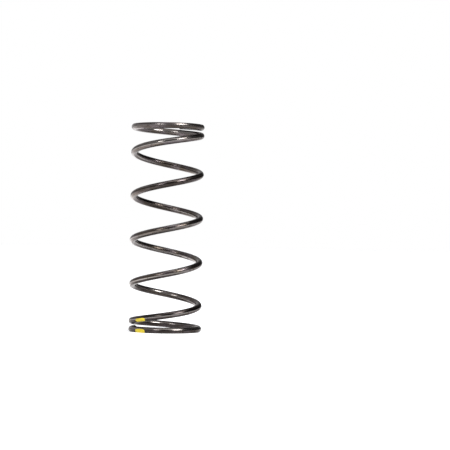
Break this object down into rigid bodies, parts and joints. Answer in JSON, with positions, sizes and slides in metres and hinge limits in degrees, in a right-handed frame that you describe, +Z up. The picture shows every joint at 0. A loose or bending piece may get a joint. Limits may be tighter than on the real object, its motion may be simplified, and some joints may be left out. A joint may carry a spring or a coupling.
{
  "type": "coil spring",
  "caption": "Right-hand helical compression spring of round steel wire, both ends closed and ground flat, with yellow paint marks. Compresses along its axis.",
  "frame": {"origin": "on the coil's axis, in the plane of the lower ground face", "axes": "+Z up the coil's axis, towards the upper end; -Y is the front, and the lower tip lies at 160.5 degrees from +X"},
  "size_m": [0.03, 0.03, 0.085],
  "materials": {
    "spring_steel": "uncoated drawn spring wire, oil-tempered grey-brown, semi-gloss with fine drawing lines along the wire; ends freshly ground",
    "yellow_paint": "hand-dabbed yellow identification paint, satin"
  },
  "bodies": {
    "lower_end_coil": {"lower_end_coil": "spring_steel", "lower_paint_mark": "yellow_paint"},
    "coil_2_stretch_1": {"coil_2_stretch_1": "spring_steel"},
    "coil_2_stretch_2": {"coil_2_stretch_2": "spring_steel", "upper_paint_mark": "yellow_paint"},
    "coil_2_stretch_3": {"coil_2_stretch_3": "spring_steel"},
    "coil_2_stretch_4": {"coil_2_stretch_4": "spring_steel"},
    "coil_2_stretch_5": {"coil_2_stretch_5": "spring_steel"},
    "coil_2_stretch_6": {"coil_2_stretch_6": "spring_steel"},
    "coil_2_stretch_7": {"coil_2_stretch_7": "spring_steel"},
    "coil_2_stretch_8": {"coil_2_stretch_8": "spring_steel"},
    "coil_3_stretch_1": {"coil_3_stretch_1": "spring_steel"},
    "coil_3_stretch_2": {"coil_3_stretch_2": "spring_steel"},
    "coil_3_stretch_3": {"coil_3_stretch_3": "spring_steel"},
    "coil_3_stretch_4": {"coil_3_stretch_4": "spring_steel"},
    "coil_3_stretch_5": {"coil_3_stretch_5": "spring_steel"},
    "coil_3_stretch_6": {"coil_3_stretch_6": "spring_steel"},
    "coil_3_stretch_7": {"coil_3_stretch_7": "spring_steel"},
    "coil_3_stretch_8": {"coil_3_stretch_8": "spring_steel"},
    "coil_4_stretch_1": {"coil_4_stretch_1": "spring_steel"},
    "coil_4_stretch_2": {"coil_4_stretch_2": "spring_steel"},
    "coil_4_stretch_3": {"coil_4_stretch_3": "spring_steel"},
    "coil_4_stretch_4": {"coil_4_stretch_4": "spring_steel"},
    "coil_4_stretch_5": {"coil_4_stretch_5": "spring_steel"},
    "coil_4_stretch_6": {"coil_4_stretch_6": "spring_steel"},
    "coil_4_stretch_7": {"coil_4_stretch_7": "spring_steel"},
    "coil_4_stretch_8": {"coil_4_stretch_8": "spring_steel"},
    "coil_5_stretch_1": {"coil_5_stretch_1": "spring_steel"},
    "coil_5_stretch_2": {"coil_5_stretch_2": "spring_steel"},
    "coil_5_stretch_3": {"coil_5_stretch_3": "spring_steel"},
    "coil_5_stretch_4": {"coil_5_stretch_4": "spring_steel"},
    "coil_5_stretch_5": {"coil_5_stretch_5": "spring_steel"},
    "coil_5_stretch_6": {"coil_5_stretch_6": "spring_steel"},
    "coil_5_stretch_7": {"coil_5_stretch_7": "spring_steel"},
    "coil_5_stretch_8": {"coil_5_stretch_8": "spring_steel"},
    "coil_6_stretch_1": {"coil_6_stretch_1": "spring_steel"},
    "coil_6_stretch_2": {"coil_6_stretch_2": "spring_steel"},
    "coil_6_stretch_3": {"coil_6_stretch_3": "spring_steel"},
    "coil_6_stretch_4": {"coil_6_stretch_4": "spring_steel"},
    "coil_6_stretch_5": {"coil_6_stretch_5": "spring_steel"},
    "coil_6_stretch_6": {"coil_6_stretch_6": "spring_steel"},
    "upper_end_coil": {"upper_end_coil": "spring_steel"}
  },
  "joints": [
    {"name": "compression", "type": "slide", "parent": "lower_end_coil", "child": "upper_end_coil", "axis": [0, 0, -1], "range_m": [0, 0.036], "stiffness_N_per_m": 5450},
    {"name": "coil_2_stretch_1_tilt", "type": "hinge", "parent": "lower_end_coil", "child": "coil_2_stretch_1", "pos_m": [-0.01387, 0.00453, 0.00386], "axis": [0.9624, 0.0188, -0.2708], "range_deg": [0, 0.582]},
    {"name": "coil_2_stretch_2_tilt", "type": "hinge", "parent": "lower_end_coil", "child": "coil_2_stretch_2", "pos_m": [-0.01623, -0.00504, 0.00561], "axis": [0.5774, 0.7995, -0.1655], "range_deg": [0, 1.67]},
    {"name": "coil_2_stretch_3_tilt", "type": "hinge", "parent": "lower_end_coil", "child": "coil_2_stretch_3", "pos_m": [-0.01288, -0.01578, 0.00702], "axis": [-0.1536, 0.9812, -0.117], "range_deg": [0, 2.71]},
    {"name": "coil_2_stretch_4_tilt", "type": "hinge", "parent": "lower_end_coil", "child": "coil_2_stretch_4", "pos_m": [-0.00137, -0.02458, 0.00847], "axis": [-0.797, 0.5973, -0.0899], "range_deg": [0, 3.66]},
    {"name": "coil_2_stretch_5_tilt", "type": "hinge", "parent": "lower_end_coil", "child": "coil_2_stretch_5", "pos_m": [0.01704, -0.02424, 0.00999], "axis": [-0.9885, -0.1328, -0.0725], "range_deg": [0, 4.48]},
    {"name": "coil_2_stretch_6_tilt", "type": "hinge", "parent": "lower_end_coil", "child": "coil_2_stretch_6", "pos_m": [0.03422, -0.00911, 0.01158], "axis": [-0.6096, -0.7904, -0.06], "range_deg": [0, 5.17]},
    {"name": "coil_2_stretch_7_tilt", "type": "hinge", "parent": "lower_end_coil", "child": "coil_2_stretch_7", "pos_m": [0.0377, 0.01859, 0.01322], "axis": [0.1255, -0.9908, -0.0504], "range_deg": [0, 5.69]},
    {"name": "coil_2_stretch_8_tilt", "type": "hinge", "parent": "lower_end_coil", "child": "coil_2_stretch_8", "pos_m": [0.01843, 0.04612, 0.0149], "axis": [0.7893, -0.6125, -0.0425], "range_deg": [0, 6.03]},
    {"name": "coil_3_stretch_1_tilt", "type": "hinge", "parent": "lower_end_coil", "child": "coil_3_stretch_1", "pos_m": [-0.0207, 0.05482, 0.0166], "axis": [0.9916, 0.1244, -0.036], "range_deg": [0, 6.18]},
    {"name": "coil_3_stretch_2_tilt", "type": "hinge", "parent": "lower_end_coil", "child": "coil_3_stretch_2", "pos_m": [-0.06138, 0.03083, 0.01829], "axis": [0.6181, 0.7855, -0.0306], "range_deg": [0, 6.19]},
    {"name": "coil_3_stretch_3_tilt", "type": "hinge", "parent": "lower_end_coil", "child": "coil_3_stretch_3", "pos_m": [-0.07584, -0.02209, 0.01996], "axis": [-0.1084, 0.9938, -0.0265], "range_deg": [0, 6.19]},
    {"name": "coil_3_stretch_4_tilt", "type": "hinge", "parent": "lower_end_coil", "child": "coil_3_stretch_4", "pos_m": [-0.04528, -0.07707, 0.02164], "axis": [-0.7739, 0.6329, -0.0233], "range_deg": [0, 6.18]},
    {"name": "coil_3_stretch_5_tilt", "type": "hinge", "parent": "lower_end_coil", "child": "coil_3_stretch_5", "pos_m": [0.02285, -0.09719, 0.02332], "axis": [-0.9955, -0.0926, -0.0208], "range_deg": [0, 6.17]},
    {"name": "coil_3_stretch_6_tilt", "type": "hinge", "parent": "lower_end_coil", "child": "coil_3_stretch_6", "pos_m": [0.0927, -0.05988, 0.02501], "axis": [-0.6429, -0.7657, -0.0188], "range_deg": [0, 6.17]},
    {"name": "coil_3_stretch_7_tilt", "type": "hinge", "parent": "lower_end_coil", "child": "coil_3_stretch_7", "pos_m": [0.11861, 0.02354, 0.0267], "axis": [0.0819, -0.9965, -0.0172], "range_deg": [0, 6.16]},
    {"name": "coil_3_stretch_8_tilt", "type": "hinge", "parent": "lower_end_coil", "child": "coil_3_stretch_8", "pos_m": [0.0746, 0.10835, 0.02838], "axis": [0.7598, -0.65, -0.0158], "range_deg": [0, 6.15]},
    {"name": "coil_4_stretch_1_tilt", "type": "hinge", "parent": "lower_end_coil", "child": "coil_4_stretch_1", "pos_m": [-0.02418, 0.14015, 0.03007], "axis": [0.9972, 0.0739, -0.0146], "range_deg": [0, 6.14]},
    {"name": "coil_4_stretch_2_tilt", "type": "hinge", "parent": "lower_end_coil", "child": "coil_4_stretch_2", "pos_m": [-0.12406, 0.08944, 0.03176], "axis": [0.6554, 0.7552, -0.0136], "range_deg": [0, 6.14]},
    {"name": "coil_4_stretch_3_tilt", "type": "hinge", "parent": "lower_end_coil", "child": "coil_4_stretch_3", "pos_m": [-0.16182, -0.02477, 0.03345], "axis": [-0.0677, 0.9976, -0.0127], "range_deg": [0, 6.13]},
    {"name": "coil_4_stretch_4_tilt", "type": "hinge", "parent": "lower_end_coil", "child": "coil_4_stretch_4", "pos_m": [-0.10442, -0.13984, 0.03515], "axis": [-0.7516, 0.6595, -0.0119], "range_deg": [0, 6.12]},
    {"name": "coil_4_stretch_5_tilt", "type": "hinge", "parent": "lower_end_coil", "child": "coil_4_stretch_5", "pos_m": [0.02533, -0.18366, 0.03684], "axis": [-0.998, -0.0627, -0.0112], "range_deg": [0, 6.11]},
    {"name": "coil_4_stretch_6_tilt", "type": "hinge", "parent": "lower_end_coil", "child": "coil_4_stretch_6", "pos_m": [0.15574, -0.11954, 0.03853], "axis": [-0.6629, -0.7486, -0.0106], "range_deg": [0, 6.1]},
    {"name": "coil_4_stretch_7_tilt", "type": "hinge", "parent": "lower_end_coil", "child": "coil_4_stretch_7", "pos_m": [0.20569, 0.02587, 0.04022], "axis": [0.0587, -0.9982, -0.0101], "range_deg": [0, 6.09]},
    {"name": "coil_4_stretch_8_tilt", "type": "hinge", "parent": "lower_end_coil", "child": "coil_4_stretch_8", "pos_m": [0.1348, 0.17176, 0.04192], "axis": [0.7462, -0.6657, -0.0096], "range_deg": [0, 6.08]},
    {"name": "coil_5_stretch_1_tilt", "type": "hinge", "parent": "lower_end_coil", "child": "coil_5_stretch_1", "pos_m": [-0.0264, 0.22792, 0.04361], "axis": [0.9984, 0.0553, -0.0091], "range_deg": [0, 6.07]},
    {"name": "coil_5_stretch_2_tilt", "type": "hinge", "parent": "lower_end_coil", "child": "coil_5_stretch_2", "pos_m": [-0.18794, 0.15023, 0.04531], "axis": [0.668, 0.7441, -0.0087], "range_deg": [0, 6.06]},
    {"name": "coil_5_stretch_3_tilt", "type": "hinge", "parent": "lower_end_coil", "child": "coil_5_stretch_3", "pos_m": [-0.25039, -0.02693, 0.047], "axis": [-0.0525, 0.9986, -0.0083], "range_deg": [0, 6.05]},
    {"name": "coil_5_stretch_4_tilt", "type": "hinge", "parent": "lower_end_coil", "child": "coil_5_stretch_4", "pos_m": [-0.16583, -0.2043, 0.0487], "axis": [-0.7424, 0.6699, -0.008], "range_deg": [0, 6.04]},
    {"name": "coil_5_stretch_5_tilt", "type": "hinge", "parent": "lower_end_coil", "child": "coil_5_stretch_5", "pos_m": [0.02769, -0.27311, 0.05039], "axis": [-0.9987, -0.0509, -0.0077], "range_deg": [0, 6.02]},
    {"name": "coil_5_stretch_6_tilt", "type": "hinge", "parent": "lower_end_coil", "child": "coil_5_stretch_6", "pos_m": [0.22272, -0.18071, 0.05211], "axis": [-0.6666, -0.7454, -0.0073], "range_deg": [0, 5.99]},
    {"name": "coil_5_stretch_7_tilt", "type": "hinge", "parent": "lower_end_coil", "child": "coil_5_stretch_7", "pos_m": [0.30413, 0.03392, 0.05383], "axis": [0.0661, -0.9978, -0.0068], "range_deg": [0, 5.83]},
    {"name": "coil_5_stretch_8_tilt", "type": "hinge", "parent": "lower_end_coil", "child": "coil_5_stretch_8", "pos_m": [0.20817, 0.26453, 0.05553], "axis": [0.7599, -0.65, -0.006], "range_deg": [0, 5.48]},
    {"name": "coil_6_stretch_1_tilt", "type": "hinge", "parent": "lower_end_coil", "child": "coil_6_stretch_1", "pos_m": [-0.04801, 0.38008, 0.05719], "axis": [0.996, 0.0897, -0.0052], "range_deg": [0, 4.97]},
    {"name": "coil_6_stretch_2_tilt", "type": "hinge", "parent": "lower_end_coil", "child": "coil_6_stretch_2", "pos_m": [-0.36123, 0.27602, 0.0588], "axis": [0.6308, 0.7759, -0.0042], "range_deg": [0, 4.3]},
    {"name": "coil_6_stretch_3_tilt", "type": "hinge", "parent": "lower_end_coil", "child": "coil_6_stretch_3", "pos_m": [-0.56551, -0.08089, 0.06034], "axis": [-0.1179, 0.993, -0.0032], "range_deg": [0, 3.5]},
    {"name": "coil_6_stretch_4_tilt", "type": "hinge", "parent": "lower_end_coil", "child": "coil_6_stretch_4", "pos_m": [-0.46206, -0.63554, 0.06181], "axis": [-0.7985, 0.602, -0.0022], "range_deg": [0, 2.59]},
    {"name": "coil_6_stretch_5_tilt", "type": "hinge", "parent": "lower_end_coil", "child": "coil_6_stretch_5", "pos_m": [0.2434, -1.2667, 0.06325], "axis": [-0.984, -0.1784, -0.0012], "range_deg": [0, 1.59]},
    {"name": "coil_6_stretch_6_tilt", "type": "hinge", "parent": "lower_end_coil", "child": "coil_6_stretch_6", "pos_m": [3.37023, -1.52113, 0.06501], "axis": [-0.4146, -0.91, -0.0003], "range_deg": [0, 0.563]}
  ],
  "couplings": [
    {"joint": "coil_2_stretch_1_tilt", "follows": "compression", "rad_per_m": 0.27975},
    {"joint": "coil_2_stretch_2_tilt", "follows": "compression", "rad_per_m": 0.80782},
    {"joint": "coil_2_stretch_3_tilt", "follows": "compression", "rad_per_m": 1.3113},
    {"joint": "coil_2_stretch_4_tilt", "follows": "compression", "rad_per_m": 1.7701},
    {"joint": "coil_2_stretch_5_tilt", "follows": "compression", "rad_per_m": 2.1716},
    {"joint": "coil_2_stretch_6_tilt", "follows": "compression", "rad_per_m": 2.5035},
    {"joint": "coil_2_stretch_7_tilt", "follows": "compression", "rad_per_m": 2.756},
    {"joint": "coil_2_stretch_8_tilt", "follows": "compression", "rad_per_m": 2.9215},
    {"joint": "coil_3_stretch_1_tilt", "follows": "compression", "rad_per_m": 2.995},
    {"joint": "coil_3_stretch_2_tilt", "follows": "compression", "rad_per_m": 3.0004},
    {"joint": "coil_3_stretch_3_tilt", "follows": "compression", "rad_per_m": 2.9969},
    {"joint": "coil_3_stretch_4_tilt", "follows": "compression", "rad_per_m": 2.9936},
    {"joint": "coil_3_stretch_5_tilt", "follows": "compression", "rad_per_m": 2.9904},
    {"joint": "coil_3_stretch_6_tilt", "follows": "compression", "rad_per_m": 2.9872},
    {"joint": "coil_3_stretch_7_tilt", "follows": "compression", "rad_per_m": 2.9839},
    {"joint": "coil_3_stretch_8_tilt", "follows": "compression", "rad_per_m": 2.9805},
    {"joint": "coil_4_stretch_1_tilt", "follows": "compression", "rad_per_m": 2.977},
    {"joint": "coil_4_stretch_2_tilt", "follows": "compression", "rad_per_m": 2.9732},
    {"joint": "coil_4_stretch_3_tilt", "follows": "compression", "rad_per_m": 2.9692},
    {"joint": "coil_4_stretch_4_tilt", "follows": "compression", "rad_per_m": 2.9651},
    {"joint": "coil_4_stretch_5_tilt", "follows": "compression", "rad_per_m": 2.9607},
    {"joint": "coil_4_stretch_6_tilt", "follows": "compression", "rad_per_m": 2.956},
    {"joint": "coil_4_stretch_7_tilt", "follows": "compression", "rad_per_m": 2.9512},
    {"joint": "coil_4_stretch_8_tilt", "follows": "compression", "rad_per_m": 2.9461},
    {"joint": "coil_5_stretch_1_tilt", "follows": "compression", "rad_per_m": 2.9408},
    {"joint": "coil_5_stretch_2_tilt", "follows": "compression", "rad_per_m": 2.9353},
    {"joint": "coil_5_stretch_3_tilt", "follows": "compression", "rad_per_m": 2.9296},
    {"joint": "coil_5_stretch_4_tilt", "follows": "compression", "rad_per_m": 2.9236},
    {"joint": "coil_5_stretch_5_tilt", "follows": "compression", "rad_per_m": 2.9173},
    {"joint": "coil_5_stretch_6_tilt", "follows": "compression", "rad_per_m": 2.9028},
    {"joint": "coil_5_stretch_7_tilt", "follows": "compression", "rad_per_m": 2.8234},
    {"joint": "coil_5_stretch_8_tilt", "follows": "compression", "rad_per_m": 2.6564},
    {"joint": "coil_6_stretch_1_tilt", "follows": "compression", "rad_per_m": 2.4068},
    {"joint": "coil_6_stretch_2_tilt", "follows": "compression", "rad_per_m": 2.0825},
    {"joint": "coil_6_stretch_3_tilt", "follows": "compression", "rad_per_m": 1.6934},
    {"joint": "coil_6_stretch_4_tilt", "follows": "compression", "rad_per_m": 1.2516},
    {"joint": "coil_6_stretch_5_tilt", "follows": "compression", "rad_per_m": 0.77083},
    {"joint": "coil_6_stretch_6_tilt", "follows": "compression", "rad_per_m": 0.27035}
  ]
}
